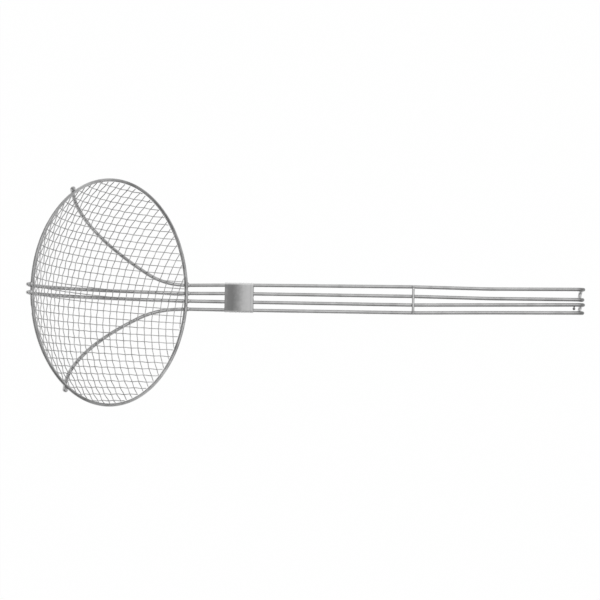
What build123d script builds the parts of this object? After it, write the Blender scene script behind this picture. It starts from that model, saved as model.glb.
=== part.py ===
from build123d import *
import math
import os

# Round wire skimmer with a woven bowl and a four-wire handle, all lengths in millimetres.
# It is worked out in the basket's own frame: the rim's centre at the origin, X towards the handle,
# Z out of the bowl's mouth. At the end it is laid down as it rests on a table: +X still runs towards
# the handle's end, Z = 0 is the table, and the origin is under the middle of the whole skimmer.

# Rings
rim_diameter = 203.2
rim_wire = 2.8
binding_wire = 0.9
binding_set_in = 0.2
binding_opening = 6.0
binding_opening_angle = 190.0
weld_gap = 0.1

# Bowl mesh, its rows' distances and shifts in the middle as shares of the mesh's radius at the rings
bowl_depth = 43.2
mesh_wire = 0.8
crossing_gap = 0.05
along_pitch_share = 0.0687
along_shift_share = -0.01
along_rows = 15
along_turn_angle = -3.1
along_fan_angle = -1.7
along_closing_share = 0.0578
across_pitch_share = 0.0733
across_shift_share = 0.0206
across_rows = 15
across_turn_angle = -10.1
across_closing_share = 0.098

# Frame wires
frame_wire = 3.4
handle_rise_angle = 60.0
handle_length = 374.0
handle_bend = 8.0
handle_bow_radius = 400.0
handle_pitch = 8.2
rib_run = 6.0
rib_tip_bend = 3.0
rib_tip_rise = 0.6
hook_drop = 22.0
hook_bend = 8.0

# Band and cross wire on the handle
band_place = 50.0
band_length = 27.4
band_sheet = 0.4
band_hem_width = 2.6
band_hem_rise = 0.1
band_seam = 0.8
cross_place = 215.0
cross_wire = 2.6
cross_short = 1.0
drawn_place = 285.0

# Distances of the handle wires from the handle's middle, as shares of the handle pitch,
# at the rim, the band, the cross wire, the place where they are drawn in, and the hooks
left_outer_shares = (1.271, 1.41, 1.573, 1.486, 1.638)
left_inner_shares = (0.325, 0.418, 0.478, 0.401, 0.471)
right_inner_shares = (0.56, 0.559, 0.512, 0.335, 0.109)
right_outer_shares = (1.505, 1.50, 1.411, 1.223, 1.032)
middle_tip_share = 0.415

# Diagonal ribs, left and right, as shares of the rim's radius: the place where the knee's bend ends,
# the straight run and the radius at the knee, and the place that the rib passes half way
knee_ahead_shares = (0.693, 0.627)
knee_aside_shares = (0.214, 0.230)
knee_run_shares = (0.207, 0.213)
knee_bend_shares = (0.62, 0.74)
diagonal_back_shares = (0.065, 0.093)
diagonal_aside_shares = (0.640, 0.600)
diagonal_end_angles = (119.5, 122.0)

# Share of the hooks' pitch that their turn takes up as its radius, and how far back towards the bowl
# the lower end of each hook's left and right leg lies
hook_turn_share = 0.48
hook_leans = (1.2, 2.8)

# Rings, worked out
rim_radius = (rim_diameter - rim_wire) / 2
binding_radius = rim_radius - binding_set_in
ring_distance = (rim_wire + binding_wire) / 2 + weld_gap
binding_drop = math.sqrt(ring_distance**2 - binding_set_in**2)

# Bowl, worked out: the middle of the mesh is a ball's surface that ends level with the binding ring
mesh_edge_radius = rim_radius - rim_wire / 2 - weld_gap
mesh_lift = bowl_depth - binding_drop
bowl_radius = (mesh_edge_radius**2 + mesh_lift**2) / (2 * mesh_lift)
bowl_centre = bowl_radius - bowl_depth
layer_step = (mesh_wire + crossing_gap) / 2

# Ribs, worked out: arcs that touch the mesh from below at the bottom and pass under the binding ring
wall_slope = math.atan2(binding_radius, bowl_centre + binding_drop)
rise = math.radians(handle_rise_angle)
bend_allowance = handle_bend * (1 - math.cos((rise - wall_slope) / 2))
ring_to_rib = (binding_wire + frame_wire) / 2 + weld_gap + bend_allowance
pinch_radius = binding_radius + ring_to_rib * math.sin(wall_slope)
pinch_height = -binding_drop - ring_to_rib * math.cos(wall_slope)
rib_depth = bowl_depth + layer_step + mesh_wire / 2 + weld_gap + frame_wire / 2
pinch_lift = rib_depth + pinch_height
rib_radius = (pinch_radius**2 + pinch_lift**2 - rib_run**2) / (2 * pinch_lift)
rib_centre = rib_radius - rib_depth
rib_slope = math.atan2(pinch_radius, rib_radius - pinch_lift) - math.atan2(rib_run, rib_radius)

# Handle, worked out: a straight line that rises past the rings at the welding distance
rim_to_handle = (rim_wire + frame_wire) / 2 + weld_gap
handle_offset = max(
    rim_radius * math.sin(rise) + rim_to_handle,
    binding_radius * math.sin(rise) + binding_drop * math.cos(rise) + ring_to_rib,
)
pinch_offset = pinch_radius * math.sin(rise) - pinch_height * math.cos(rise)
run_to_bend = (handle_offset - pinch_offset) / math.sin(rise - rib_slope)
bend_x = pinch_radius + run_to_bend * math.cos(rib_slope)
bend_z = pinch_height + run_to_bend * math.sin(rib_slope)
rim_passing = rim_radius * math.cos(rise)


def handle_point(along, aside, below=0.0):
    """Point of the handle: its distance past the rim, its side place, and its depth under the wires."""
    forward = rim_passing + along
    outward = handle_offset + below
    x = forward * math.cos(rise) + outward * math.sin(rise)
    z = forward * math.sin(rise) - outward * math.cos(rise)
    return Vector(x, aside, z)


def on_rib_ball(x, y):
    """Point of the ball on which all ribs lie, below the plan place x, y."""
    return Vector(x, y, rib_centre - math.sqrt(rib_radius**2 - x**2 - y**2))


def bent_path(corners, bends):
    """Straight runs through the corners, joined at each inner corner by an arc of the given radius."""
    edges = []
    last = corners[0]
    for before, corner, after, bend in zip(corners, corners[1:], corners[2:], bends):
        arriving = (corner - before).normalized()
        leaving = (after - corner).normalized()
        half_turn = math.radians(arriving.get_angle(leaving)) / 2
        reach = bend * math.tan(half_turn)
        arc_start = corner - arriving * reach
        arc_end = corner + leaving * reach
        inward = (leaving - arriving).normalized()
        arc_middle = corner + inward * bend * (1 / math.cos(half_turn) - 1)
        edges.append(Edge.make_line(last, arc_start))
        edges.append(Edge.make_three_point_arc(arc_start, arc_middle, arc_end))
        last = arc_end
    edges.append(Edge.make_line(last, corners[-1]))
    return Wire(edges)


def round_bar_along(path, thickness):
    """Round wire of the given thickness, bent to the path."""
    start = Plane(origin=path @ 0, z_dir=path % 0)
    return sweep(start * Circle(thickness / 2), path=path)


def arc_bar(place, radius, thickness, half_angle):
    """Round wire bent to an arc about the Z axis of a plane, half on each side of that plane's X axis."""
    section = Plane.XZ * Pos(radius, 0) * Circle(thickness / 2)
    bar = revolve(section, Axis.Z, 2 * half_angle)
    return place.location * Rot(0, 0, -half_angle) * bar


def make_rim_ring():
    """Butt-welded ring of the basket's stoutest edge."""
    return Torus(rim_radius, rim_wire / 2)


def make_binding_ring():
    """Thin open ring under the rim, with its ends apart at the far side."""
    half_opening = math.degrees(binding_opening / binding_radius) / 2
    place = Plane(origin=(0, 0, -binding_drop)).rotated((0, 0, binding_opening_angle - 180))
    return arc_bar(place, binding_radius, binding_wire, 180 - half_opening)


def make_mesh_wire(offset, turn, ball_radius):
    """One wire of the bowl: the arc that a standing plane cuts from the ball, out to the mesh's edge."""
    plan_half = math.sqrt(mesh_edge_radius**2 - offset**2)
    arc_radius = math.sqrt(ball_radius**2 - offset**2)
    half_angle = math.degrees(math.asin(plan_half / arc_radius))
    side = Vector(-math.sin(math.radians(turn)), math.cos(math.radians(turn)), 0)
    centre = side * offset + Vector(0, 0, bowl_centre)
    place = Plane(origin=centre, x_dir=(0, 0, -1), z_dir=side)
    return arc_bar(place, arc_radius, mesh_wire, half_angle)


def row_place(row, pitch_share, closing_share, shift_share):
    """Distance of a mesh row from the middle; the rows close up towards the rim."""
    even_share = row * pitch_share
    return mesh_edge_radius * (shift_share + even_share * (1 - closing_share * even_share**2))


def make_along_wire(row):
    """Mesh wire that runs towards the handle, in the weave's inner layer."""
    offset = row_place(row, along_pitch_share, along_closing_share, along_shift_share)
    turn = along_turn_angle + along_fan_angle * offset / rim_radius
    return make_mesh_wire(offset, turn, bowl_radius - layer_step)


def make_across_wires(row):
    """The two mesh wires a number of rows from the middle one, across the others, in the outer layer."""
    wires = []
    for place in sorted({row, -row}, reverse=True):
        offset = row_place(place, across_pitch_share, across_closing_share, across_shift_share)
        wires.append(make_mesh_wire(offset, across_turn_angle - 90, bowl_radius + layer_step))
    return wires


def through_ball_points(first, middle, last):
    """Corner of the arc through three points of the rib ball: where the tangents of its ends meet."""
    arc = Edge.make_three_point_arc(first, middle, last)
    leaving = arc % 0
    half_turn = math.radians(leaving.get_angle(arc % 1)) / 2
    reach = arc.radius * math.tan(half_turn)
    return first + leaving * reach, leaving, (arc % 1), arc.radius


def make_frame_wire(side):
    """One wire: middle rib, inner handle wire, hook, outer handle wire and diagonal rib (side 1 or -1)."""
    places = (band_place, cross_place, drawn_place, handle_length)
    inner_shares, outer_shares = left_inner_shares, left_outer_shares
    if side < 0:
        inner_shares, outer_shares = right_inner_shares, right_outer_shares
    inner = [share * handle_pitch for share in inner_shares]
    outer = [share * handle_pitch for share in outer_shares]
    tip_radius = rim_radius + rim_to_handle

    # Middle rib, from its tip outside the far rim to the bend under the near rim
    tip_aside = middle_tip_share * handle_pitch
    bottom_aside = tip_aside + (inner[0] - tip_aside) * tip_radius / (tip_radius + bend_x)
    tip_turn_z = pinch_height + (tip_radius - pinch_radius) * math.tan(rib_slope)
    bottom_z = rib_centre - rib_radius / math.cos(rib_slope)
    corners = [Vector(-tip_radius, tip_aside, rib_tip_rise), Vector(-tip_radius, tip_aside, tip_turn_z)]
    corners += [Vector(0, bottom_aside, bottom_z), Vector(bend_x, inner[0], bend_z)]
    bends = [rib_tip_bend, rib_radius, handle_bend]

    # Inner handle wire, hook and outer handle wire
    corners += [handle_point(along, aside) for along, aside in zip(places, inner[1:])]
    outer_lean, inner_lean = hook_leans[::side]
    corners += [handle_point(handle_length - inner_lean, inner[-1], hook_drop)]
    corners += [handle_point(handle_length - outer_lean, outer[-1], hook_drop)]
    corners += [handle_point(along, aside) for along, aside in zip(places[::-1], outer[:0:-1])]
    turn_radius = hook_turn_share * (outer[-1] - inner[-1])
    bends += [handle_bow_radius] * 3
    bends += [hook_bend, turn_radius, turn_radius, hook_bend]
    bends += [handle_bow_radius] * 3

    # Diagonal rib, from the bend under the near rim to its tip outside the rim
    which = 0 if side > 0 else 1
    end_angle = math.radians(diagonal_end_angles[which])
    end_plan = rib_radius * math.sin(rib_slope)
    first = on_rib_ball(knee_ahead_shares[which] * rim_radius, knee_aside_shares[which] * rim_radius)
    passing_x = -diagonal_back_shares[which] * rim_radius
    passing_y = diagonal_aside_shares[which] * rim_radius
    middle = on_rib_ball(passing_x, passing_y)
    last = on_rib_ball(end_plan * math.cos(end_angle), end_plan * math.sin(end_angle))
    arc_corner, leaving, ending, arc_radius = through_ball_points(first, middle, last)
    knee = first - leaving * knee_run_shares[which] * rim_radius
    plan_step = last.X * ending.X + last.Y * ending.Y
    plan_rate = ending.X**2 + ending.Y**2
    to_tip = (math.sqrt(plan_step**2 + plan_rate * (tip_radius**2 - end_plan**2)) - plan_step) / plan_rate
    tip_turn = last + ending * to_tip
    corners += [Vector(bend_x, outer[0], bend_z), knee, arc_corner, tip_turn]
    corners += [Vector(tip_turn.X, tip_turn.Y, rib_tip_rise)]
    bends += [handle_bend, knee_bend_shares[which] * rim_radius, arc_radius, rib_tip_bend]

    path = bent_path([Vector(corner.X, side * corner.Y, corner.Z) for corner in corners], bends)
    return round_bar_along(path, frame_wire)


def outer_wires_at(station):
    """Middle and half distance of the two outer handle wires at one of the handle's stations."""
    left = left_outer_shares[station] * handle_pitch
    right = -right_outer_shares[station] * handle_pitch
    return (left + right) / 2, (left - right) / 2


def make_handle_band():
    """Sheet sleeve round the four handle wires, its edges hemmed outwards, its seam on the underside."""
    middle, half_spread = outer_wires_at(1)
    inner_width = 2 * (half_spread + frame_wire / 2 + weld_gap)
    inner_height = frame_wire + 2 * weld_gap
    sheet_width = inner_width + 2 * band_sheet
    sheet_height = inner_height + 2 * band_sheet
    hem_outline = SlotOverall(sheet_width + 2 * band_hem_rise, sheet_height + 2 * band_hem_rise)
    sleeve = extrude(SlotOverall(sheet_width, sheet_height), band_length)
    sleeve += extrude(hem_outline, band_hem_width)
    sleeve += Pos(0, 0, band_length - band_hem_width) * extrude(hem_outline, band_hem_width)
    sleeve -= extrude(SlotOverall(inner_width, inner_height), band_length)
    seam_depth = inner_height / 2 + band_sheet + band_hem_rise
    sleeve -= Pos(0, -seam_depth / 2, band_length / 2) * Box(band_seam, seam_depth, band_length)
    along = Vector(math.cos(rise), 0, math.sin(rise))
    place = Plane(origin=handle_point(band_place - band_length / 2, middle), x_dir=(0, 1, 0), z_dir=along)
    return place.location * sleeve


def make_cross_wire():
    """Short rod across the upper side of the four handle wires."""
    above = (frame_wire + cross_wire) / 2 + weld_gap
    middle, half_spread = outer_wires_at(2)
    length = 2 * (half_spread - cross_short)
    place = Plane(origin=handle_point(cross_place, middle, -above), z_dir=(0, 1, 0))
    return place.location * Cylinder(cross_wire / 2, length)


def lying_tilt():
    """Tilt at which the bends under the rim and the hooks' turns touch one table, in degrees."""
    bend_reach = handle_bend * math.tan((rise - rib_slope) / 2)
    bend_centre_x = bend_x + bend_reach * math.cos(rise) - handle_bend * math.sin(rise)
    bend_centre_z = bend_z + bend_reach * math.sin(rise) + handle_bend * math.cos(rise)
    hook = handle_point(handle_length - sum(hook_leans) / 2, 0, hook_drop)
    step_x = hook.X - bend_centre_x
    step_z = hook.Z - bend_centre_z
    return math.degrees(math.atan2(step_z, step_x) + math.asin(handle_bend / math.hypot(step_x, step_z)))


def make_all_pieces():
    """Every piece by its node's name, in the basket's own frame."""
    pieces = {
        "rim_ring": [make_rim_ring()],
        "binding_ring": [make_binding_ring()],
        "frame_wire_left": [make_frame_wire(1)],
        "frame_wire_right": [make_frame_wire(-1)],
        "handle_band": [make_handle_band()],
        "handle_cross_wire": [make_cross_wire()],
    }
    for row in range(-along_rows, along_rows + 1):
        pieces[f"mesh_along_{row + along_rows + 1:02d}"] = [make_along_wire(row)]
    for row in range(across_rows + 1):
        pieces[f"mesh_across_{row:02d}"] = make_across_wires(row)
    return pieces


pieces = make_all_pieces()
tilted = Rot(0, lying_tilt(), 0)
outermost = ("rim_ring", "frame_wire_left", "frame_wire_right")
outer_pieces = [tilted * piece for name in outermost for piece in pieces[name]]
box = Compound(children=outer_pieces).bounding_box()
laid_down = Pos(-box.center().X, -box.center().Y, -box.min.Z) * tilted

os.makedirs("parts", exist_ok=True)
for name, solids in pieces.items():
    placed = [laid_down * solid for solid in solids]
    for solid in placed:
        solid.label = name
    whole = placed[0] if len(placed) == 1 else Compound(children=placed, label=name)
    export_step(whole, f"parts/{name}.step")
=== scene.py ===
"""Looks of the round wire skimmer: a woven wire bowl in two rings, and a handle of four wires.

All lengths are in metres. The pieces are worked out in the basket's own frame, as the maker sees it:
the rim's centre is the origin, X runs towards the handle, and Z goes out of the bowl's mouth. The
matrix named basket carries that frame to the skimmer's place on the table.
"""

import math

import bpy
from mathutils import Matrix, Vector


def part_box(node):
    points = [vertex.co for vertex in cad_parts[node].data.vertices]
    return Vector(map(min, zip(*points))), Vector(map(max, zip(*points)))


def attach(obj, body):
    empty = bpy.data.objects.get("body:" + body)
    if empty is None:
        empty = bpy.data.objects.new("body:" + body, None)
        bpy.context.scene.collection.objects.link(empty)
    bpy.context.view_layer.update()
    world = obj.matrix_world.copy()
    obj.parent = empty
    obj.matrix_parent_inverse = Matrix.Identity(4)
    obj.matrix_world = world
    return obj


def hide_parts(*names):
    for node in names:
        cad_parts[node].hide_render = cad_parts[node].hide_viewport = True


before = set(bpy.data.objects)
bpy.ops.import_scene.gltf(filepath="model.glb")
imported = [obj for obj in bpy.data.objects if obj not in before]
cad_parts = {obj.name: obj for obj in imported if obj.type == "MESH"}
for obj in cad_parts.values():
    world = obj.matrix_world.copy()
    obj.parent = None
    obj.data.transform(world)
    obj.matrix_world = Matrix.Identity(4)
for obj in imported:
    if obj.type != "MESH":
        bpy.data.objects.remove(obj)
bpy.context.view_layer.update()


# Rim ring
# The stoutest wire of the basket: round steel bent to a ring, its ends butt-welded, then the whole
# skimmer is plated. The weld leaves a slight swelling at the far side. Where this ring lies in the
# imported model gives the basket's place and tilt.

rim_wire = 0.0028
rim_sides = 28
rim_steps = 360
rim_weld_angle = math.radians(152)
rim_weld_swelling = 0.05
rim_weld_half_length = 0.0016

rim_low, rim_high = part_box("rim_ring")
rim_radius = (rim_high.y - rim_low.y - rim_wire) / 2
basket_tilt = math.atan2(rim_high.z - rim_low.z - rim_wire, rim_high.x - rim_low.x - rim_wire)
basket = Matrix.Translation((rim_low + rim_high) / 2) @ Matrix.Rotation(basket_tilt, 4, "Y")

# Plating on drawn wire: how its mottling and the marks of drawing share in its unevenness, how fine
# they are, and at which unevenness it is darkest, lightest, dullest and glossiest
mottling_share = 0.65
mottling_detail = 5.0
mottling_roughness = 0.6
marks_share = 0.35
marks_detail = 3.0
marks_per_metre = 60.0
darkest_at, lightest_at = 0.36, 0.62
dullest_at, glossiest_at = 0.3, 0.7
plating_relief = 0.00006
plating_relief_strength = 0.35
drawn_roughness = (0.24, 0.36)
rim_greys = (0.39, 0.66)


def set_or_join(tree, socket, value):
    """Gives a socket its value, which is a plain number or colour, or another node's output."""
    if isinstance(value, bpy.types.NodeSocket):
        tree.links.new(value, socket)
    else:
        socket.default_value = value


def reckoned(tree, operation, *values):
    """The outcome of one sum on numbers and other nodes' outputs."""
    node = tree.nodes.new("ShaderNodeMath")
    node.operation = operation
    for socket, value in zip(node.inputs, values):
        set_or_join(tree, socket, value)
    return node.outputs["Value"]


def spread(tree, value, given, wanted, interpolation="LINEAR"):
    """A value carried from its given span to the wanted one."""
    node = tree.nodes.new("ShaderNodeMapRange")
    node.interpolation_type = interpolation
    node.inputs["From Min"].default_value, node.inputs["From Max"].default_value = given
    node.inputs["To Min"].default_value, node.inputs["To Max"].default_value = wanted
    tree.links.new(value, node.inputs["Value"])
    return node.outputs["Result"]


def unevenness(tree, place, scale, detail, roughness=0.5):
    """Soft random patches; the scale and detail say how fine they are."""
    node = tree.nodes.new("ShaderNodeTexNoise")
    set_or_join(tree, node.inputs["Scale"], scale)
    node.inputs["Detail"].default_value = detail
    node.inputs["Roughness"].default_value = roughness
    if place is not None:
        tree.links.new(place, node.inputs["Vector"])
    return node.outputs["Fac"]


def grey_run(tree, value, stops):
    """Greys for a value from 0 to 1. Each stop is its place there and its tone."""
    node = tree.nodes.new("ShaderNodeValToRGB")
    elements = node.color_ramp.elements
    for _ in stops[2:]:
        elements.new(0.5)
    for element, (position, tone) in zip(elements, stops):
        element.position = position
        element.color = (tone, tone, tone, 1.0)
    tree.links.new(value, node.inputs["Fac"])
    return node.outputs["Color"]


def blended(tree, kind, share, first, second, way="MIX"):
    """Two colours or numbers blended, with the second one's share."""
    node = tree.nodes.new("ShaderNodeMix")
    node.data_type = kind
    node.blend_type = way
    for name, value in (("Factor", share), ("A", first), ("B", second)):
        set_or_join(tree, node.inputs[name], value)
    return node.outputs["Result"]


def start_metal(name):
    """A bare metal finish: its material, its nodes' tree and its shader."""
    material = bpy.data.materials.new(name)
    material.use_nodes = True
    shader = material.node_tree.nodes["Principled BSDF"]
    shader.inputs["Metallic"].default_value = 1.0
    return material, material.node_tree, shader


def add_relief(tree, shader, height, strength, depth):
    """Fine relief in the surface's gloss."""
    relief = tree.nodes.new("ShaderNodeBump")
    relief.inputs["Strength"].default_value = strength
    relief.inputs["Distance"].default_value = depth
    tree.links.new(height, relief.inputs["Height"])
    tree.links.new(relief.outputs["Normal"], shader.inputs["Normal"])


def plated_wire_finish(name, greys, roughness, mottling_scale=90.0, path_tones=(), marks_scale=5.0):
    """Bright plating on drawn steel: soft mottling, fine lines along the wire, slightly uneven gloss.

    Greys are the darkest and the lightest tone, and roughness is the least and the most. The path's
    tones hold places along it, in metres, with the share of the tone there; on the frame wires they
    carry painted shade at the hooks' bends and painted light at their feet.
    """
    material, tree, shader = start_metal(name)
    place = tree.nodes.new("ShaderNodeTexCoord")
    mottling = unevenness(
        tree, place.outputs["Object"], mottling_scale, mottling_detail, mottling_roughness)

    around = tree.nodes.new("ShaderNodeAttribute")
    around.attribute_name = "around"
    along = tree.nodes.new("ShaderNodeAttribute")
    along.attribute_name = "along"
    apart = tree.nodes.new("ShaderNodeSeparateXYZ")
    tree.links.new(around.outputs["Vector"], apart.inputs["Vector"])
    on_wire = tree.nodes.new("ShaderNodeCombineXYZ")
    tree.links.new(apart.outputs["X"], on_wire.inputs["X"])
    tree.links.new(apart.outputs["Y"], on_wire.inputs["Y"])
    along_scaled = reckoned(tree, "MULTIPLY", along.outputs["Fac"], marks_per_metre)
    tree.links.new(along_scaled, on_wire.inputs["Z"])
    marks = unevenness(tree, on_wire.outputs["Vector"], marks_scale, marks_detail)

    mottling_part = reckoned(tree, "MULTIPLY", mottling, mottling_share)
    uneven = reckoned(tree, "MULTIPLY_ADD", marks, marks_share, mottling_part)
    colour = grey_run(tree, uneven, ((darkest_at, greys[0]), (lightest_at, greys[1])))
    if path_tones:
        start, end = path_tones[0][0], path_tones[-1][0]
        path_share = spread(tree, along.outputs["Fac"], (start, end), (0.0, 1.0))
        stops = [((spot - start) / (end - start), left) for spot, left in path_tones]
        colour = blended(tree, "RGBA", 1.0, colour, grey_run(tree, path_share, stops), "MULTIPLY")
    tree.links.new(colour, shader.inputs["Base Color"])
    gloss = spread(tree, uneven, (dullest_at, glossiest_at), roughness[::-1])
    tree.links.new(gloss, shader.inputs["Roughness"])
    add_relief(tree, shader, uneven, plating_relief_strength, plating_relief)
    return material


def start_tree(name, inputs):
    """A new tree that makes a mesh from named inputs: the tree, and its inputs' outputs."""
    tree = bpy.data.node_groups.new(name, "GeometryNodeTree")
    for label, kind in inputs.items():
        tree.interface.new_socket(label, in_out="INPUT", socket_type=f"NodeSocket{kind}")
    return tree, tree.nodes.new("NodeGroupInput").outputs


def end_tree(tree, mesh, finish):
    """The end of a tree: the mesh is shaded smooth, made real and given its finish."""
    tree.interface.new_socket("Made", in_out="OUTPUT", socket_type="NodeSocketGeometry")
    smooth = tree.nodes.new("GeometryNodeSetShadeSmooth")
    real = tree.nodes.new("GeometryNodeRealizeInstances")
    finished = tree.nodes.new("GeometryNodeSetMaterial")
    made = tree.nodes.new("NodeGroupOutput")
    tree.links.new(mesh, smooth.inputs["Geometry"])
    tree.links.new(smooth.outputs["Geometry"], real.inputs["Geometry"])
    tree.links.new(real.outputs["Geometry"], finished.inputs["Geometry"])
    tree.links.new(finish, finished.inputs["Material"])
    tree.links.new(finished.outputs["Geometry"], made.inputs["Made"])


def marked(tree, curve, mark, kind, value):
    """A curve whose points keep a value under the mark's name."""
    node = tree.nodes.new("GeometryNodeStoreNamedAttribute")
    node.data_type = kind
    node.domain = "POINT"
    node.inputs["Name"].default_value = mark
    tree.links.new(curve, node.inputs["Geometry"])
    tree.links.new(value, node.inputs["Value"])
    return node.outputs["Geometry"]


def mark_read(tree, mark, kind):
    """The value that the points carry under the mark's name."""
    node = tree.nodes.new("GeometryNodeInputNamedAttribute")
    node.data_type = kind
    node.inputs["Name"].default_value = mark
    return node.outputs["Attribute"]


def make_wire_tree():
    """Round wire along the object's path: one profile swept along each line of points, ends closed."""
    inputs = {"Path": "Geometry", "Thickness": "Float", "Sides": "Int", "Finish": "Material"}
    tree, given = start_tree("wire_along_its_path", inputs)
    path = tree.nodes.new("GeometryNodeMeshToCurve")
    tree.links.new(given["Path"], path.inputs["Mesh"])
    travelled = tree.nodes.new("GeometryNodeSplineParameter")
    marked_path = marked(tree, path.outputs["Curve"], "along", "FLOAT", travelled.outputs["Length"])

    profile = tree.nodes.new("GeometryNodeCurvePrimitiveCircle")
    tree.links.new(given["Sides"], profile.inputs["Resolution"])
    tree.links.new(reckoned(tree, "MULTIPLY", given["Thickness"], 0.5), profile.inputs["Radius"])
    spot = tree.nodes.new("GeometryNodeInputPosition")
    direction = tree.nodes.new("ShaderNodeVectorMath")
    direction.operation = "NORMALIZE"
    tree.links.new(spot.outputs["Position"], direction.inputs[0])
    way = direction.outputs["Vector"]
    marked_profile = marked(tree, profile.outputs["Curve"], "around", "FLOAT_VECTOR", way)

    swept = tree.nodes.new("GeometryNodeCurveToMesh")
    swept.inputs["Fill Caps"].default_value = True
    tree.links.new(marked_path, swept.inputs["Curve"])
    tree.links.new(marked_profile, swept.inputs["Profile Curve"])
    tree.links.new(mark_read(tree, "swell", "FLOAT"), swept.inputs["Scale"])
    end_tree(tree, swept.outputs["Mesh"], given["Finish"])
    return tree


wire_tree = make_wire_tree()


def make_piece(name, mesh, tree, settings):
    """The mesh that a tree makes of a starting mesh, as a plain piece with no modifier."""
    piece = bpy.data.objects.new(name, mesh)
    bpy.context.scene.collection.objects.link(piece)
    modifier = piece.modifiers.new("made", "NODES")
    modifier.node_group = tree
    inputs = [item for item in tree.interface.items_tree if item.in_out == "INPUT"]
    sockets = {item.name: item.identifier for item in inputs}
    for setting, value in settings.items():
        modifier[sockets[setting]] = value
    bpy.context.view_layer.update()
    evaluated = piece.evaluated_get(bpy.context.evaluated_depsgraph_get())
    made = bpy.data.meshes.new_from_object(evaluated)
    piece.modifiers.clear()
    piece.data = made
    bpy.data.meshes.remove(mesh)
    made.name = name
    return piece


def make_wire(name, paths, thickness, sides, finish):
    """Round wires as one piece. Each path is its points, their swelling, and whether it is closed."""
    vertices = []
    edges = []
    swells = []
    for points, swelling, closed in paths:
        first = len(vertices)
        vertices += [basket @ point for point in points]
        swells += swelling
        edges += [(place, place + 1) for place in range(first, len(vertices) - 1)]
        if closed:
            edges.append((len(vertices) - 1, first))
    mesh = bpy.data.meshes.new(name)
    mesh.from_pydata(vertices, edges, [])
    mesh.attributes.new("swell", "FLOAT", "POINT").data.foreach_set("value", swells)
    return make_piece(name, mesh, wire_tree, {"Thickness": thickness, "Sides": sides, "Finish": finish})


def ring_points(radius, height, start, end, count):
    """Points of an arc about the basket's axis, from one angle to another."""
    angles = [start + (end - start) * step / count for step in range(count + 1)]
    return [Vector((radius * math.cos(angle), radius * math.sin(angle), height)) for angle in angles]


# Share of the plating's tone at places round the rim, in degrees, once round from the weld
rim_tones = (
    (152, 0.64), (176, 0.70), (200, 0.82), (216, 0.94), (234, 0.74), (250, 0.46), (264, 0.58),
    (282, 0.74), (300, 0.88), (312, 1.0), (326, 0.66), (350, 0.74), (384, 0.96), (408, 0.80),
    (432, 0.48), (446, 0.54), (462, 0.80), (486, 0.88), (500, 0.80), (512, 0.62),
)
rim_tones_along = []
for angle, share in rim_tones:
    past_weld = math.radians(angle) - rim_weld_angle
    rim_tones_along.append((rim_radius * past_weld, share))
rim_finish = plated_wire_finish("plated_rim_wire", rim_greys, drawn_roughness, path_tones=rim_tones_along)
rim_points = ring_points(rim_radius, 0.0, rim_weld_angle, rim_weld_angle + 2 * math.pi, rim_steps)[:-1]
rim_swelling = []
for point in rim_points:
    from_weld = (point - rim_points[0]).length / rim_weld_half_length
    rim_swelling.append(1 + rim_weld_swelling * math.exp(-from_weld**2))
rim_path = (rim_points, rim_swelling, True)
rim_ring = make_wire("plated_rim_ring", [rim_path], rim_wire, rim_sides, rim_finish)
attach(rim_ring, "root")
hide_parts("rim_ring")


# Binding ring
# Thin steel wire bent to an open ring just under the rim, a little smaller. The edge of the woven
# bowl is caught between the two rings. Its cut ends stay apart at the far side.

binding_wire = 0.0009
binding_sides = 16
binding_steps = 300
binding_set_in = 0.0002
binding_opening = 0.006
binding_opening_angle = math.radians(190)
# The binding wire's greys, far darker than the rim's plating, are painted shade under the rim
binding_shade_greys = (0.17, 0.32)
weld_gap = 0.0001

binding_radius = rim_radius - binding_set_in
binding_drop = math.sqrt(((rim_wire + binding_wire) / 2 + weld_gap)**2 - binding_set_in**2)


def cut_end(points, swelling, thickness, chamfer=0.12):
    """Cut ends of a wire's path: each end gets a narrow rounded edge and a nearly flat face.

    The edge is the chamfer's share of the thickness long. The steps are places along it with the
    share of the wire's radius there: the face's middle, the face's rim, the rounding, the wire.
    """
    steps = ((0.0, 0.02), (0.0002, 1 - chamfer * 1.6), (0.3, 1 - chamfer * 0.5), (1.0, 1.0))
    for inward in (1, -1):
        end = points[0] if inward == 1 else points[-1]
        following = points[1] if inward == 1 else points[-2]
        along = (following - end).normalized()
        new_points = [end + along * thickness * chamfer * step for step, _ in steps]
        new_swelling = [swell for _, swell in steps]
        if inward == 1:
            points = new_points + points[1:]
            swelling = new_swelling + swelling[1:]
        else:
            points = points[:-1] + new_points[::-1]
            swelling = swelling[:-1] + new_swelling[::-1]
    return points, swelling, False


half_opening = binding_opening / binding_radius / 2
binding_start = binding_opening_angle + half_opening
binding_end = binding_opening_angle - half_opening + 2 * math.pi
binding_points = ring_points(binding_radius, -binding_drop, binding_start, binding_end, binding_steps)
binding_path = cut_end(binding_points, [1.0] * len(binding_points), binding_wire)
binding_finish = plated_wire_finish("plated_binding_wire", binding_shade_greys, drawn_roughness)
binding_ring = make_wire(
    "plated_binding_ring", [binding_path], binding_wire, binding_sides, binding_finish)
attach(binding_ring, "root")
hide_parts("binding_ring")


# Woven bowl
# Thin plated steel wires in plain weave, pressed to a shallow round bowl. Each wire passes over one
# and under the next, crimped where they cross. The wires are cut off between the two rings.

bowl_depth = 0.0432
mesh_wire = 0.0008
mesh_sides = 8
crossing_gap = 0.00005
along_pitch_share = 0.0687
along_shift_share = -0.01
along_rows = 15
along_turn = -3.1
along_fan = -1.7
along_closing_share = 0.0578
across_pitch_share = 0.0733
across_shift_share = 0.0206
across_rows = 15
across_turn = -10.1
across_closing_share = 0.098
mesh_cell = 0.007
crimp_step = mesh_cell / 8
mesh_greys = (0.36, 0.63)
mesh_roughness = (0.26, 0.40)
mesh_mottling_scale = 140.0
mesh_marks_scale = 4.0

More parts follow.
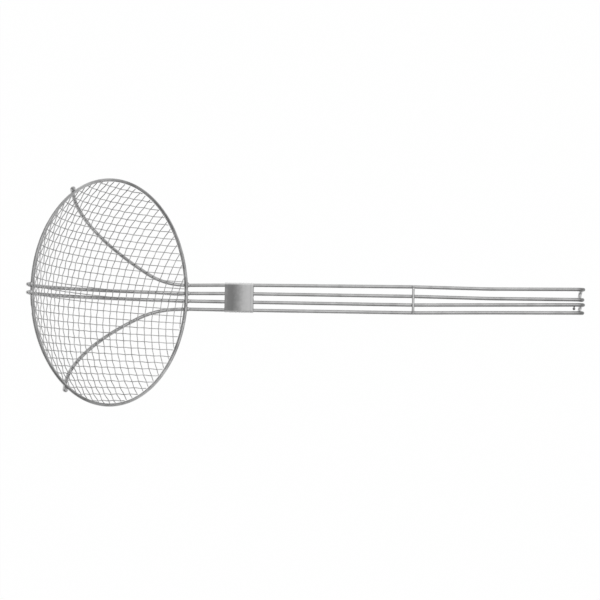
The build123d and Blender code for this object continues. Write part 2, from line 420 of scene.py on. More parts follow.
mesh_edge_radius = rim_radius - rim_wire / 2 - weld_gap
mesh_lift = bowl_depth - binding_drop
bowl_radius = (mesh_edge_radius**2 + mesh_lift**2) / (2 * mesh_lift)
bowl_centre = Vector((0.0, 0.0, bowl_radius - bowl_depth))
layer_step = (mesh_wire + crossing_gap) / 2


def row_place(row, pitch_share, closing_share, shift_share):
    """Distance of a row from the middle. Rows close up towards the rim, where the weave is steep."""
    even_share = row * pitch_share
    return mesh_edge_radius * (shift_share + even_share * (1 - closing_share * even_share**2))


def row_line(row, family):
    """A row of the weave seen from above: its number, distance from the middle, and two directions."""
    if family == "along":
        offset = row_place(row, along_pitch_share, along_closing_share, along_shift_share)
        turn = math.radians(along_turn + along_fan * offset / rim_radius)
    else:
        offset = row_place(row, across_pitch_share, across_closing_share, across_shift_share)
        turn = math.radians(across_turn - 90)
    run = Vector((math.cos(turn), math.sin(turn), 0.0))
    side = Vector((-math.sin(turn), math.cos(turn), 0.0))
    return row, offset, run, side


def woven_path(line, others, layer):
    """Path of one mesh wire over the bowl, over one crossing wire and under the next.

    Layer, 1 or -1, is the side that it takes where the two rows' numbers add up to an even number.
    """
    row, offset, run, side = line
    half = math.sqrt(mesh_edge_radius**2 - offset**2)
    crossings = []
    for other_row, other_offset, _, other_side in others:
        place = (other_offset - offset * side.dot(other_side)) / run.dot(other_side)
        if abs(place) < half - mesh_wire:
            over = layer if (row + other_row) % 2 == 0 else -layer
            crossings.append((place, over))
    crossings.sort()
    stops = [(-half, 0.0)] + crossings + [(half, 0.0)]
    points = []
    for (start, start_layer), (end, end_layer) in zip(stops, stops[1:]):
        count = max(2, math.ceil((end - start) / crimp_step))
        for step in range(count):
            share = step / count
            blend = (1 - math.cos(math.pi * share)) / 2
            out = start_layer + (end_layer - start_layer) * blend
            points.append((start + (end - start) * share, out))
    points.append((half, 0.0))
    path = []
    for place, out in points:
        flat = side * offset + run * place
        depth = math.sqrt(bowl_radius**2 - flat.length_squared)
        outward = Vector((flat.x, flat.y, -depth)) / bowl_radius
        path.append(bowl_centre + outward * (bowl_radius + out * layer_step))
    return path, [1.0] * len(path), False


mesh_finish = plated_wire_finish(
    "plated_mesh_wire", mesh_greys, mesh_roughness, mesh_mottling_scale, marks_scale=mesh_marks_scale)
along_lines = [row_line(row, "along") for row in range(-along_rows, along_rows + 1)]
across_lines = [row_line(row, "across") for row in range(-across_rows, across_rows + 1)]
for line in along_lines:
    node = f"mesh_along_{line[0] + along_rows + 1:02d}"
    path = woven_path(line, across_lines, -1)
    piece = make_wire(f"woven_{node}", [path], mesh_wire, mesh_sides, mesh_finish)
    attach(piece, "root")
    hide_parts(node)
for row in range(across_rows + 1):
    node = f"mesh_across_{row:02d}"
    pair = [woven_path(line, along_lines, 1) for line in across_lines if abs(line[0]) == row]
    piece = make_wire(f"woven_{node}", pair, mesh_wire, mesh_sides, mesh_finish)
    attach(piece, "root")
    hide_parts(node)


# Frame wires
# Two long plated steel wires, each bent from one length: a middle rib under the bowl, an inner
# handle wire, a hook at the end, an outer handle wire back, and a diagonal rib under the bowl.
# Both pass under the rim and are welded to it. Painted shade darkens their tone at the hooks' bends,
# and painted light brightens it at the hooks' feet.

frame_wire = 0.0034
frame_sides = 28
handle_rise = math.radians(60)
handle_length = 0.374
handle_bend = 0.008
handle_bow_radius = 0.4
handle_pitch = 0.0082
rib_run = 0.006
rib_tip_bend = 0.003
rib_tip_rise = 0.0006
hook_drop = 0.022
hook_leans = (0.0012, 0.0028)
hook_bend = 0.008
hook_turn_share = 0.48
band_place = 0.05
cross_place = 0.215
drawn_place = 0.285
frame_greys = (0.44, 0.60)
frame_mottling_scale = 80.0

# How finely bends and straight runs are stepped, and the shortest bend that is rounded
arc_step = math.radians(3)
run_step = 0.012
least_arc = 0.0005
least_arc_steps = 4

# Side places of the four handle wires at the rim, the band, the cross wire, where they draw
# together and at the hooks, as shares of their pitch
left_outer_shares = (1.271, 1.41, 1.573, 1.486, 1.638)
left_inner_shares = (0.325, 0.418, 0.478, 0.401, 0.471)
right_inner_shares = (0.56, 0.559, 0.512, 0.335, 0.109)
right_outer_shares = (1.505, 1.50, 1.411, 1.223, 1.032)
middle_tip_share = 0.415

# Bends of the left and the right diagonal rib, as shares of the rim's radius
knee_ahead_shares = (0.693, 0.627)
knee_aside_shares = (0.214, 0.230)
knee_run_shares = (0.207, 0.213)
knee_bend_shares = (0.62, 0.74)
diagonal_back_shares = (0.065, 0.093)
diagonal_aside_shares = (0.640, 0.600)
diagonal_end_angles = (math.radians(119.5), math.radians(122))

wall_slope = math.atan2(binding_radius, bowl_centre.z + binding_drop)
bend_allowance = handle_bend * (1 - math.cos((handle_rise - wall_slope) / 2))
ring_to_rib = (binding_wire + frame_wire) / 2 + weld_gap + bend_allowance
pinch_radius = binding_radius + ring_to_rib * math.sin(wall_slope)
pinch_height = -binding_drop - ring_to_rib * math.cos(wall_slope)
rib_depth = bowl_depth + layer_step + mesh_wire / 2 + weld_gap + frame_wire / 2
pinch_lift = rib_depth + pinch_height
rib_radius = (pinch_radius**2 + pinch_lift**2 - rib_run**2) / (2 * pinch_lift)
rib_centre = rib_radius - rib_depth
rib_slope = math.atan2(pinch_radius, rib_radius - pinch_lift) - math.atan2(rib_run, rib_radius)
rim_to_handle = (rim_wire + frame_wire) / 2 + weld_gap
handle_offset = max(
    rim_radius * math.sin(handle_rise) + rim_to_handle,
    binding_radius * math.sin(handle_rise) + binding_drop * math.cos(handle_rise) + ring_to_rib,
)
pinch_offset = pinch_radius * math.sin(handle_rise) - pinch_height * math.cos(handle_rise)
run_to_bend = (handle_offset - pinch_offset) / math.sin(handle_rise - rib_slope)
bend_x = pinch_radius + run_to_bend * math.cos(rib_slope)
bend_z = pinch_height + run_to_bend * math.sin(rib_slope)
tip_radius = rim_radius + rim_to_handle


def handle_point(along, aside, below=0.0):
    """Point of the handle: distance past the rim, side place, and depth below the wires' own middles."""
    forward = rim_radius * math.cos(handle_rise) + along
    outward = handle_offset + below
    x = forward * math.cos(handle_rise) + outward * math.sin(handle_rise)
    z = forward * math.sin(handle_rise) - outward * math.cos(handle_rise)
    return Vector((x, aside, z))


def on_rib_ball(x, y):
    """Point of the ball on which all ribs lie, below the plan place x, y."""
    return Vector((x, y, rib_centre - math.sqrt(rib_radius**2 - x**2 - y**2)))


def arc_corner_through(first, middle, last):
    """Of an arc through three points: where its end tangents meet, those tangents, and its radius."""
    to_middle = middle - first
    to_last = last - first
    normal = to_middle.cross(to_last)
    from_first = (to_last.length_squared * normal.cross(to_middle)
                  + to_middle.length_squared * to_last.cross(normal)) / (2 * normal.length_squared)
    centre = first + from_first
    radius = from_first.length
    axis = normal.normalized()
    leaving = axis.cross(first - centre).normalized()
    ending = axis.cross(last - centre).normalized()
    reach = radius * math.tan(leaving.angle(ending) / 2)
    return first + leaving * reach, leaving, ending, radius


def spread_run(points, end):
    """Adds the points between the last point and the end of a straight run."""
    start = points[-1]
    count = max(1, round((end - start).length / run_step))
    for step in range(1, count):
        points.append(start.lerp(end, step / count))


def bent_points(corners, bends):
    """Points along straight runs through the corners, with an arc of its own radius at each corner."""
    points = [corners[0]]
    for before, corner, after, bend in zip(corners, corners[1:], corners[2:], bends):
        arriving = (corner - before).normalized()
        leaving = (after - corner).normalized()
        turn = arriving.angle(leaving)
        if bend * turn < least_arc:
            spread_run(points, corner)
            points.append(corner)
            continue
        reach = bend * math.tan(turn / 2)
        arc_start = corner - arriving * reach
        inward = (leaving - arriving).normalized()
        centre = corner + inward * bend / math.cos(turn / 2)
        axis = arriving.cross(leaving).normalized()
        spread_run(points, arc_start)
        count = max(least_arc_steps, math.ceil(turn / arc_step))
        for step in range(count + 1):
            turned = Matrix.Rotation(turn * step / count, 3, axis)
            points.append(centre + turned @ (arc_start - centre))
    spread_run(points, corners[-1])
    points.append(corners[-1])
    return points


def frame_wire_corners(side):
    """Corners and bends of one wire, as if on the left: its middle rib, handle part and diagonal rib.

    Side is 1 for the left wire and -1 for the right one. The hook's four corners come last.
    """
    inner_shares, outer_shares = left_inner_shares, left_outer_shares
    if side < 0:
        inner_shares, outer_shares = right_inner_shares, right_outer_shares
    inner = [share * handle_pitch for share in inner_shares]
    outer = [share * handle_pitch for share in outer_shares]

    # Middle rib, from its tip outside the far rim to the bend under the near rim
    tip_aside = middle_tip_share * handle_pitch
    bottom_aside = tip_aside + (inner[0] - tip_aside) * tip_radius / (tip_radius + bend_x)
    tip_turn_z = pinch_height + (tip_radius - pinch_radius) * math.tan(rib_slope)
    bottom_z = rib_centre - rib_radius / math.cos(rib_slope)
    corners = [Vector((-tip_radius, tip_aside, rib_tip_rise))]
    corners += [Vector((-tip_radius, tip_aside, tip_turn_z))]
    corners += [Vector((0.0, bottom_aside, bottom_z)), Vector((bend_x, inner[0], bend_z))]
    bends = [rib_tip_bend, rib_radius, handle_bend]

    # Inner handle wire, hook and outer handle wire
    places = (band_place, cross_place, drawn_place)
    outer_lean, inner_lean = hook_leans[::side]
    hook = [handle_point(handle_length, inner[4])]
    hook += [handle_point(handle_length - inner_lean, inner[4], hook_drop)]
    hook += [handle_point(handle_length - outer_lean, outer[4], hook_drop)]
    hook += [handle_point(handle_length, outer[4])]
    corners += [handle_point(along, aside) for along, aside in zip(places, inner[1:4])]
    corners += hook
    corners += [handle_point(along, aside) for along, aside in zip(places, outer[1:4])][::-1]
    turn_radius = hook_turn_share * (outer[4] - inner[4])
    bends += [handle_bow_radius] * 3
    bends += [hook_bend, turn_radius, turn_radius, hook_bend]
    bends += [handle_bow_radius] * 3

    # Diagonal rib, from the bend under the near rim to its tip outside the rim
    which = 0 if side > 0 else 1
    end_angle = diagonal_end_angles[which]
    end_plan = rib_radius * math.sin(rib_slope)
    first = on_rib_ball(knee_ahead_shares[which] * rim_radius, knee_aside_shares[which] * rim_radius)
    passing_x = -diagonal_back_shares[which] * rim_radius
    passing_y = diagonal_aside_shares[which] * rim_radius
    middle = on_rib_ball(passing_x, passing_y)
    last = on_rib_ball(end_plan * math.cos(end_angle), end_plan * math.sin(end_angle))
    arc_corner, leaving, ending, arc_radius = arc_corner_through(first, middle, last)
    knee = first - leaving * knee_run_shares[which] * rim_radius
    plan_step = last.x * ending.x + last.y * ending.y
    plan_rate = ending.x**2 + ending.y**2
    plan_reach = math.sqrt(plan_step**2 + plan_rate * (tip_radius**2 - end_plan**2))
    tip_turn = last + ending * (plan_reach - plan_step) / plan_rate
    corners += [Vector((bend_x, outer[0], bend_z)), knee, arc_corner, tip_turn]
    corners += [Vector((tip_turn.x, tip_turn.y, rib_tip_rise))]
    bends += [handle_bend, knee_bend_shares[which] * rim_radius, arc_radius, rib_tip_bend]
    return corners, bends, hook


def on_side(side, points):
    """Points on the wire's own side: as they are for 1, mirrored for -1."""
    return [Vector((point.x, side * point.y, point.z)) for point in points]


def travelled_to(points, places):
    """How far along a path its points lie that are nearest to the given places."""
    travelled = [0.0]
    for before, after in zip(points, points[1:]):
        travelled.append(travelled[-1] + (after - before).length)
    reached = []
    for place in places:
        apart = [(point - place).length for point in points]
        reached.append(travelled[apart.index(min(apart))])
    return reached


# Share of the plating's tone along each wire: from its rib's tip, before and past the hook's
# bends, where it is painted shade, at the foot between its legs, where it is painted light, and
# before the diagonal rib's tip
rib_tones = ((0.0, 1.08), (0.1, 0.96))
bend_painted_shade = (
    (-0.245, 1.0), (-0.045, 0.84), (-0.006, 0.78), (-0.001, 0.42), (0.003, 0.26), (0.008, 0.30),
)
hook_foot_painted_light = 1.3
diagonal_reach = (0.16, 0.03, 0.0)
diagonal_tones = {"left": (0.96, 1.0, 0.80), "right": (0.85, 0.86, 0.92)}

rib_tips = []
for side, hand in ((1, "left"), (-1, "right")):
    corners, bends, hook = frame_wire_corners(side)
    corners = on_side(side, corners)
    points = bent_points(corners, bends)
    path = cut_end(points, [1.0] * len(points), frame_wire)
    tips = [corners[0], corners[-1]]
    rib_tips += tips

    stations = travelled_to(path[0], on_side(side, hook) + tips[1:])
    inner_bend, inner_foot, outer_foot, outer_bend, end = stations
    path_tones = list(rib_tones)
    # Painted shade at the hooks' bends and painted light at their feet
    path_tones += [(inner_bend + step, share) for step, share in bend_painted_shade]
    path_tones += [(inner_foot, hook_foot_painted_light), (outer_foot, hook_foot_painted_light)]
    path_tones += [(outer_bend - step, share) for step, share in bend_painted_shade[::-1]]
    path_tones += [(end - reach, share) for reach, share in zip(diagonal_reach, diagonal_tones[hand])]
    finish = plated_wire_finish(
        f"plated_frame_wire_{hand}", frame_greys, drawn_roughness, frame_mottling_scale, path_tones)
    piece = make_wire(f"plated_frame_wire_{hand}", [path], frame_wire, frame_sides, finish)
    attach(piece, "root")
    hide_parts(f"frame_wire_{hand}")


# Cross wire
# Short plated steel rod laid across the four handle wires near their middle and welded on from
# above. It keeps them apart.

cross_wire = 0.0026
cross_sides = 24
cross_steps = 12
cross_short = 0.001
cross_chamfer = 0.2
# The rod's greys, lighter than the frame wires', are a painted highlight; its lower roughness is its own
# gloss
cross_highlight_greys = (0.50, 0.68)
cross_roughness = (0.16, 0.28)

cross_above = (frame_wire + cross_wire) / 2 + weld_gap
cross_left = left_outer_shares[2] * handle_pitch - cross_short
cross_right = -right_outer_shares[2] * handle_pitch + cross_short
cross_ends = [handle_point(cross_place, aside, -cross_above) for aside in (cross_right, cross_left)]
cross_points = []
for step in range(cross_steps + 1):
    cross_points.append(cross_ends[0].lerp(cross_ends[1], step / cross_steps))
cross_path = cut_end(cross_points, [1.0] * len(cross_points), cross_wire, cross_chamfer)
cross_finish = plated_wire_finish(
    "plated_cross_wire", cross_highlight_greys, cross_roughness, frame_mottling_scale)
cross_rod = make_wire("plated_cross_wire", [cross_path], cross_wire, cross_sides, cross_finish)
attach(cross_rod, "root")
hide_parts("handle_cross_wire")


# Weld beads
# Small lumps of melted steel where wires meet: in the corners between the rim and the four handle
# wires, at the four rib tips, and under the cross wire. They are plated over with the wires. A drop
# of the plating metal hangs on a short neck at the side of one handle wire, near the right hook.

bead_lump = 0.00028
bead_grain = 520.0
bead_grain_detail = 2.0
bead_fineness = 4
bead_greys = (0.32, 0.54)
drop_greys = (0.12, 0.34)
bead_roughness = (0.28, 0.45)
bead_mottling_scale = 420.0


def make_bead_tree():
    """Lumpy beads, one on each point, stretched and turned by the point's own attributes."""
    inputs = {"Joints": "Geometry", "Lump": "Float", "Grain": "Float", "Finish": "Material"}
    tree, given = start_tree("beads_on_the_joints", inputs)
    ball = tree.nodes.new("GeometryNodeMeshIcoSphere")
    ball.inputs["Radius"].default_value = 1.0
    ball.inputs["Subdivisions"].default_value = bead_fineness
    placed = tree.nodes.new("GeometryNodeInstanceOnPoints")
    tree.links.new(given["Joints"], placed.inputs["Points"])
    tree.links.new(ball.outputs["Mesh"], placed.inputs["Instance"])
    tree.links.new(mark_read(tree, "turn", "FLOAT_VECTOR"), placed.inputs["Rotation"])
    tree.links.new(mark_read(tree, "stretch", "FLOAT_VECTOR"), placed.inputs["Scale"])
    apart = tree.nodes.new("GeometryNodeRealizeInstances")
    tree.links.new(placed.outputs["Instances"], apart.inputs["Geometry"])

    lumps = unevenness(tree, None, given["Grain"], bead_grain_detail)
    height = reckoned(tree, "MULTIPLY", reckoned(tree, "SUBTRACT", lumps, 0.5), given["Lump"])
    outward = tree.nodes.new("GeometryNodeInputNormal")
    step = tree.nodes.new("ShaderNodeVectorMath")
    step.operation = "SCALE"
    tree.links.new(outward.outputs["Normal"], step.inputs["Vector"])
    tree.links.new(height, step.inputs["Scale"])
    lumpy = tree.nodes.new("GeometryNodeSetPosition")
    tree.links.new(apart.outputs["Geometry"], lumpy.inputs["Geometry"])
    tree.links.new(step.outputs["Vector"], lumpy.inputs["Offset"])
    end_tree(tree, lumpy.outputs["Geometry"], given["Finish"])
    return tree


bead_tree = make_bead_tree()


def make_beads(name, joints, finish):
    """Beads as one piece. Each joint is its place, two ways to stretch along, and three half sizes."""
    places = []
    stretches = []
    turns = []
    for place, first_way, second_way, half_sizes in joints:
        across = first_way.cross(second_way).normalized()
        second = across.cross(first_way.normalized())
        axes = Matrix((first_way.normalized(), second, across)).transposed()
        places.append(basket @ place)
        stretches += half_sizes
        turns += (basket.to_3x3() @ axes).to_euler()
    mesh = bpy.data.meshes.new(name)
    mesh.from_pydata(places, [], [])
    mesh.attributes.new("stretch", "FLOAT_VECTOR", "POINT").data.foreach_set("vector", stretches)
    mesh.attributes.new("turn", "FLOAT_VECTOR", "POINT").data.foreach_set("vector", turns)
    return make_piece(name, mesh, bead_tree, {"Lump": bead_lump, "Grain": bead_grain, "Finish": finish})


def sized(size, shape):
    """Half sizes of a bead: its size times each share of its shape."""
    return tuple(size * share for share in shape)


def on_rim_at(aside):
    """Point of the rim's middle on the handle's side, at a side place."""
    return Vector((math.sqrt(rim_radius**2 - aside**2), aside, 0.0))


handle_way = Vector((math.cos(handle_rise), 0.0, math.sin(handle_rise)))
handle_below = Vector((math.sin(handle_rise), 0.0, -math.cos(handle_rise)))
sideways = Vector((0.0, 1.0, 0.0))
left_wires = (left_outer_shares, left_inner_shares)
right_wires = (right_inner_shares, right_outer_shares)

# Beads in the two corners at the rim, by place along the wire and half length, and under the rod
corner_beads = ((0.0012, 0.0024), (-0.0012, 0.0017))
corner_bead_width, corner_bead_height = 0.0021, 0.0013
corner_bead_depth = rim_wire * 0.45
rod_bead = (0.0014, 0.0018, 0.0008)

rim_joints = []
rod_joints = []
for side, wires in ((1, left_wires), (-1, right_wires)):
    for shares in wires:
        at_rim = on_rim_at(side * shares[0] * handle_pitch) + handle_below * corner_bead_depth
        for forward, length in corner_beads:
            half_sizes = (length, corner_bead_width, corner_bead_height)
            rim_joints.append((at_rim + handle_way * forward, handle_way, sideways, half_sizes))
        at_rod = handle_point(cross_place, side * shares[2] * handle_pitch, -frame_wire / 2)
        rod_joints.append((at_rod, sideways, handle_way, rod_bead))

# The left outer wire's weld spreads along the rim, and spatter lies on the rim by the right ones and
# further on. Spatter is given by side place or by angle, then its lift and its size.
flare_ahead, flare_aside, flare_lift = 0.0001, 0.0015, frame_wire * 0.2
flare_slant = 0.8
flare_bead = (0.0027, 0.0015, 0.0014)
wire_spatter = ((-0.0085, 0.0011, 0.0012), (-0.0100, 0.0009, 0.0009), (-0.0152, 0.0008, 0.0012))
wire_spatter_shape = (1.5, 0.9, 0.8)
rim_spatter = ((-0.24, 0.0008, 0.0011), (-1.22, 0.0008, 0.0012), (-1.25, 0.0008, 0.0009))
rim_spatter_shape = (2.0, 1.0, 1.0)

flare = handle_point(flare_ahead, left_outer_shares[0] * handle_pitch + flare_aside, -flare_lift)
rim_joints.append((flare, sideways - handle_way * flare_slant, handle_way, flare_bead))
for aside, lift, size in wire_spatter:
    on_rim = on_rim_at(aside) - handle_below * lift
    rim_joints.append((on_rim, sideways, handle_way, sized(size, wire_spatter_shape)))
for angle, lift, size in rim_spatter:
    outward = Vector((math.cos(angle), math.sin(angle), 0.0))
    round_rim = Vector((-math.sin(angle), math.cos(angle), 0.0))
    on_rim = outward * rim_radius - handle_below * lift
    rim_joints.append((on_rim, round_rim, handle_below, sized(size, rim_spatter_shape)))

# Beads between the rim and the rib tips: the middle ones at the rim's height, the others lower
tip_bead_reach = rim_radius + rim_wire * 0.55
tip_bead_shape = (1.1, 0.8, 1.0)
middle_tip_bead, middle_tip_drop = 0.0021, 0.0
diagonal_tip_bead, diagonal_tip_drop = 0.0013, 0.0012

tip_joints = []
for tip in rib_tips:
    outward = Vector((tip.x, tip.y, 0.0)).normalized()
    round_rim = Vector((-outward.y, outward.x, 0.0))
    size, drop = diagonal_tip_bead, diagonal_tip_drop
    if abs(tip.y) < handle_pitch:
        size, drop = middle_tip_bead, middle_tip_drop
    at_tip = outward * tip_bead_reach - Vector((0.0, 0.0, drop))
    tip_joints.append((at_tip, round_rim, outward, sized(size, tip_bead_shape)))

# The drop and its neck: places along the handle, distances past the wire's side, and sizes
drop_beads = ((0.3646, -0.0002, 0.0007), (0.3645, 0.0006, 0.0005), (0.3643, 0.0020, 0.0013))
drop_depth = 0.0003
drop_shape = (1.1, 1.0, 0.9)

drop_joints = []
for along, past_wire, size in drop_beads:
    aside = -right_inner_shares[4] * handle_pitch - frame_wire / 2 - past_wire
    at_drop = handle_point(along, aside, drop_depth)
    drop_joints.append((at_drop, sideways, handle_way, sized(size, drop_shape)))

bead_finish = plated_wire_finish("plated_weld_beads", bead_greys, bead_roughness, bead_mottling_scale)
beads = make_beads("plated_weld_beads", rim_joints + tip_joints + rod_joints, bead_finish)
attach(beads, "root")
drop_finish = plated_wire_finish("plating_drop", drop_greys, bead_roughness, bead_mottling_scale)
plating_drop = make_beads("plating_drop", drop_joints, drop_finish)
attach(plating_drop, "root")


# Handle band
# Thin steel sheet bent round the four handle wires to a flat sleeve and pressed tight, its two
# edges hemmed outwards, its long edges meeting in a seam on the underside.

band_length = 0.0274
band_sheet = 0.0004
band_lip = 0.00035
band_hem_width = 0.0026
band_hem_rise = 0.0001
band_seam = 0.0008
band_crown = 0.00012
hem_flat_shares = (0.5, 0.85)
hem_end_share = 1.1
flat_steps = 26
side_steps = 16
lip_steps = 6
hem_steps = 5
crown_steps = 12
inner_steps = 4

band_half_flat = (left_outer_shares[1] + right_outer_shares[1]) / 2 * handle_pitch
band_middle = (left_outer_shares[1] - right_outer_shares[1]) / 2 * handle_pitch


def band_outline():
    """Inner outline of the sleeve seen along the handle, open at the seam: places and outward ways."""
    end_radius = frame_wire / 2 + weld_gap
    half = []
    for step in range(flat_steps // 2 + 1):
        aside = band_seam / 2 + (band_half_flat - band_seam / 2) * step / (flat_steps // 2)
        half.append((aside, -end_radius, 0.0, -1.0))
    for step in range(1, side_steps):
        angle = -math.pi / 2 + math.pi * step / side_steps
        way = (math.cos(angle), math.sin(angle))
        half.append((band_half_flat + end_radius * way[0], end_radius * way[1], *way))
    top = []
    for step in range(flat_steps + 1):
        aside = band_half_flat - 2 * band_half_flat * step / flat_steps
        top.append((aside, end_radius, 0.0, 1.0))
    other_half = [(-aside, up, -way_aside, way_up) for aside, up, way_aside, way_up in half[::-1]]
    return half + top + other_half


def band_profile():
    """Section of the sheet along the handle: distance along, height over the inner face."""
    hem = band_sheet + band_hem_rise
    edge = []
    for step in range(lip_steps + 1):
        angle = math.pi / 2 * step / lip_steps
        edge.append((band_lip * (1 - math.cos(angle)), hem - band_lip + band_lip * math.sin(angle)))
    edge += [(band_hem_width * share, hem) for share in hem_flat_shares]
    for step in range(1, hem_steps + 1):
        share = step / hem_steps
        along = band_hem_width * (hem_flat_shares[1] + (hem_end_share - hem_flat_shares[1]) * share)
        edge.append((along, hem - band_hem_rise * (1 - math.cos(math.pi * share)) / 2))
    middle = []
    start = band_hem_width * hem_end_share
    for step in range(1, crown_steps):
        along = start + (band_length - 2 * start) * step / crown_steps
        middle.append((along, band_sheet + band_crown * math.sin(math.pi * step / crown_steps)))
    other_edge = [(band_length - along, up) for along, up in edge[::-1]]
    inner = [(band_length * (1 - step / inner_steps), 0.0) for step in range(inner_steps + 1)]
    return edge + middle + other_edge + inner


def make_band_mesh():
    """The sleeve: its sheet's section carried round the outline, closed at both sides of the seam."""
    outline = band_outline()
    profile = band_profile()
    start = band_place - band_length / 2
    vertices = []
    for aside, up, way_aside, way_up in outline:
        for along, height in profile:
            across = band_middle + aside + way_aside * height
            vertices.append(basket @ handle_point(start + along, across, -(up + way_up * height)))
    size = len(profile)
    faces = []
    for station in range(len(outline) - 1):
        for place in range(size):
            after = (place + 1) % size
            near = station * size
            far = near + size
            faces.append((near + place, near + after, far + after, far + place))
    faces.append(tuple(range(size))[::-1])
    faces.append(tuple(range((len(outline) - 1) * size, len(outline) * size)))
    mesh = bpy.data.meshes.new("pressed_handle_band")
    mesh.from_pydata(vertices, [], faces)
    mesh.validate()
    return mesh


# Share of the sheet's length from the bowl's side with its tone, a run from painted shade to a
# brighter painted reflection, how far blotches and brushing move it and how fine they are, and the
# painted highlight on the two round sides
band_shade_tones = (
    (0.0, 0.32), (0.1, 0.235), (0.28, 0.215), (0.45, 0.31), (0.64, 0.49), (0.84, 0.55), (1.0, 0.535),
)
blotch_share = 0.22
blotch_scale = 260.0
brushing_share = 0.10
brushing_scales = (2600.0, 120.0, 120.0)
band_detail = 3.0
band_roughness = (0.44, 0.28)
highlight_width = 0.0016
highlight_grey = (0.86, 0.86, 0.86, 1.0)
round_side_roughness = 0.68
band_relief = 0.00005
band_relief_strength = 0.3


def pressed_sheet_finish():
    """Plated sheet, blotched and brushed, duller at the bowl's side: its tone runs from painted shade
    there to a brighter painted reflection beyond.
    """
    material, tree, shader = start_metal("plated_band_sheet")
    place = tree.nodes.new("ShaderNodeTexCoord").outputs["Object"]
    apart = tree.nodes.new("ShaderNodeSeparateXYZ")
    tree.links.new(place, apart.inputs["Vector"])
    blotches = unevenness(tree, place, blotch_scale, band_detail)
    stretched = tree.nodes.new("ShaderNodeMapping")
    stretched.inputs["Scale"].default_value = brushing_scales
    tree.links.new(place, stretched.inputs["Vector"])
    brushing = unevenness(tree, stretched.outputs["Vector"], 1.0, band_detail)

    ends = [basket @ handle_point(band_place + way * band_length / 2, 0.0) for way in (-1, 1)]
    centring = (blotch_share + brushing_share) / 2
    along = spread(tree, apart.outputs["X"], (ends[0].x, ends[1].x), (-centring, 1 - centring))
    blotched = reckoned(tree, "MULTIPLY_ADD", blotches, blotch_share, along)
    brushed = reckoned(tree, "MULTIPLY_ADD", brushing, brushing_share, blotched)
    # The tone's run along the sleeve is painted shade at the bowl's side and a painted reflection beyond
    colour = grey_run(tree, brushed, band_shade_tones)
    roughness = spread(tree, brushed, (0.0, 1.0), band_roughness)

    # The two round sides get a pale painted highlight and are made dull
    from_middle = reckoned(tree, "SUBTRACT", apart.outputs["Y"], band_middle)
    aside = reckoned(tree, "ABSOLUTE", from_middle)
    highlight_share = spread(tree, aside, (band_half_flat, band_half_flat + highlight_width), (0.0, 1.0))
    highlighted_colour = blended(tree, "RGBA", highlight_share, colour, highlight_grey)
    tree.links.new(highlighted_colour, shader.inputs["Base Color"])
    round_side_gloss = blended(tree, "FLOAT", highlight_share, roughness, round_side_roughness)
    tree.links.new(round_side_gloss, shader.inputs["Roughness"])
    add_relief(tree, shader, blotches, band_relief_strength, band_relief)
    return material


band_mesh = make_band_mesh()
band_mesh.materials.append(pressed_sheet_finish())
band_mesh.shade_smooth()
band = bpy.data.objects.new("pressed_handle_band", band_mesh)
bpy.context.scene.collection.objects.link(band)
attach(band, "root")
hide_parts("handle_band")


# Table, light and camera
# The skimmer lies on a plain pale table under a wide soft lamp. The table shows plain white to the
# camera and in reflections, and keeps the soft shadow.

table_size = 3.0
table_white_share = 0.99
bpy.ops.mesh.primitive_plane_add(size=table_size, location=(0.0, 0.0, 0.0))
table = bpy.context.object
table.name = "table"
table_finish = bpy.data.materials.new("pale_table")
table_finish.use_nodes = True
table_tree = table_finish.node_tree
matt = table_tree.nodes["Principled BSDF"]
matt.inputs["Base Color"].default_value = (0.86, 0.86, 0.86, 1.0)
matt.inputs["Roughness"].default_value = 0.9
white = table_tree.nodes.new("ShaderNodeEmission")
white.inputs["Color"].default_value = (1.0, 1.0, 1.0, 1.0)
white.inputs["Strength"].default_value = 1.0
rays = table_tree.nodes.new("ShaderNodeLightPath").outputs
seen = reckoned(table_tree, "MAXIMUM", rays["Is Camera Ray"], rays["Is Glossy Ray"])
seen_through = reckoned(table_tree, "MAXIMUM", seen, rays["Is Transmission Ray"])
white_share = reckoned(table_tree, "MULTIPLY", seen_through, table_white_share)
mixed = table_tree.nodes.new("ShaderNodeMixShader")
table_tree.links.new(white_share, mixed.inputs["Fac"])
table_tree.links.new(matt.outputs["BSDF"], mixed.inputs[1])
table_tree.links.new(white.outputs["Emission"], mixed.inputs[2])
table_tree.links.new(mixed.outputs["Shader"], table_tree.nodes["Material Output"].inputs["Surface"])
table.data.materials.append(table_finish)

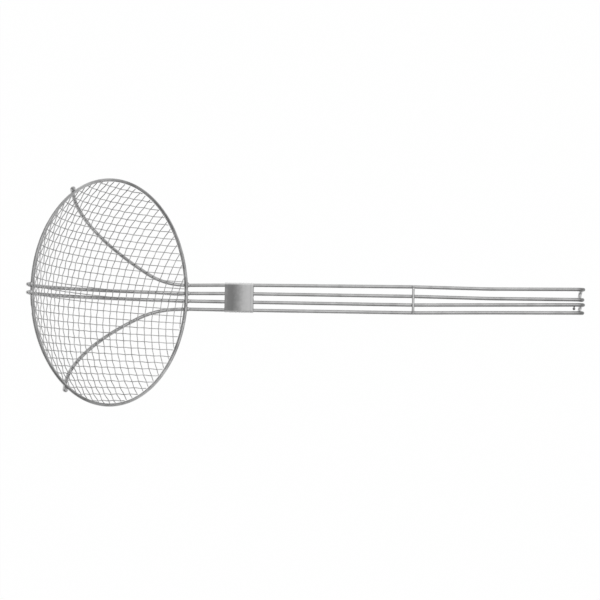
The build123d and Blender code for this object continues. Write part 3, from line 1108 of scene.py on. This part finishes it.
# The room's light comes mostly from above and a little from the far right
brightest_way = Vector((0.25, 0.40, 0.88)).normalized()
room_span = (-0.05, 0.95)
room_light = (0.22, 0.98)
world = bpy.data.worlds.new("studio")
world.use_nodes = True
world_tree = world.node_tree
sky = world_tree.nodes["Background"]
ways = world_tree.nodes.new("ShaderNodeTexCoord")
height = world_tree.nodes.new("ShaderNodeVectorMath")
height.operation = "DOT_PRODUCT"
height.inputs[1].default_value = brightest_way
world_tree.links.new(ways.outputs["Generated"], height.inputs[0])
ceiling = spread(world_tree, height.outputs["Value"], room_span, room_light, "SMOOTHSTEP")
camera_ray = world_tree.nodes.new("ShaderNodeLightPath").outputs["Is Camera Ray"]
world_tree.links.new(blended(world_tree, "FLOAT", camera_ray, ceiling, 1.0), sky.inputs["Strength"])
sky.inputs["Color"].default_value = (1.0, 1.0, 1.0, 1.0)
bpy.context.scene.world = world

lamp_size = 1.1
lamp_power = 1.5
lamp_place = Vector((0.55, 0.85, 1.25))
softbox = bpy.data.lights.new("soft_lamp", "AREA")
softbox.shape = "SQUARE"
softbox.size = lamp_size
softbox.energy = lamp_power
lamp = bpy.data.objects.new("soft_lamp", softbox)
lamp_turn = lamp_place.to_track_quat("Z", "Y").to_matrix().to_4x4()
lamp.matrix_world = Matrix.Translation(lamp_place) @ lamp_turn
bpy.context.scene.collection.objects.link(lamp)

# The camera's place and ways are given in the basket's frame
camera_place = Vector((-0.90788, -0.03038, 0.83833))
camera_back = Vector((-0.81872, -0.02224, 0.57377))
camera_up = Vector((-0.03047, 0.99952, -0.00473))
turned = basket.to_3x3()
back = (turned @ camera_back).normalized()
right = (turned @ camera_up).cross(back).normalized()
up = back.cross(right)
view = bpy.data.cameras.new("photo_view")
view.lens = 82.38
view.sensor_width = 36.0
view.clip_start = 0.05
camera = bpy.data.objects.new("photo_view", view)
facing = Matrix((right, up, back)).transposed().to_4x4()
camera.matrix_world = Matrix.Translation(basket @ camera_place) @ facing
bpy.context.scene.collection.objects.link(camera)
bpy.context.scene.camera = camera
bpy.context.scene.view_settings.view_transform = "Standard"
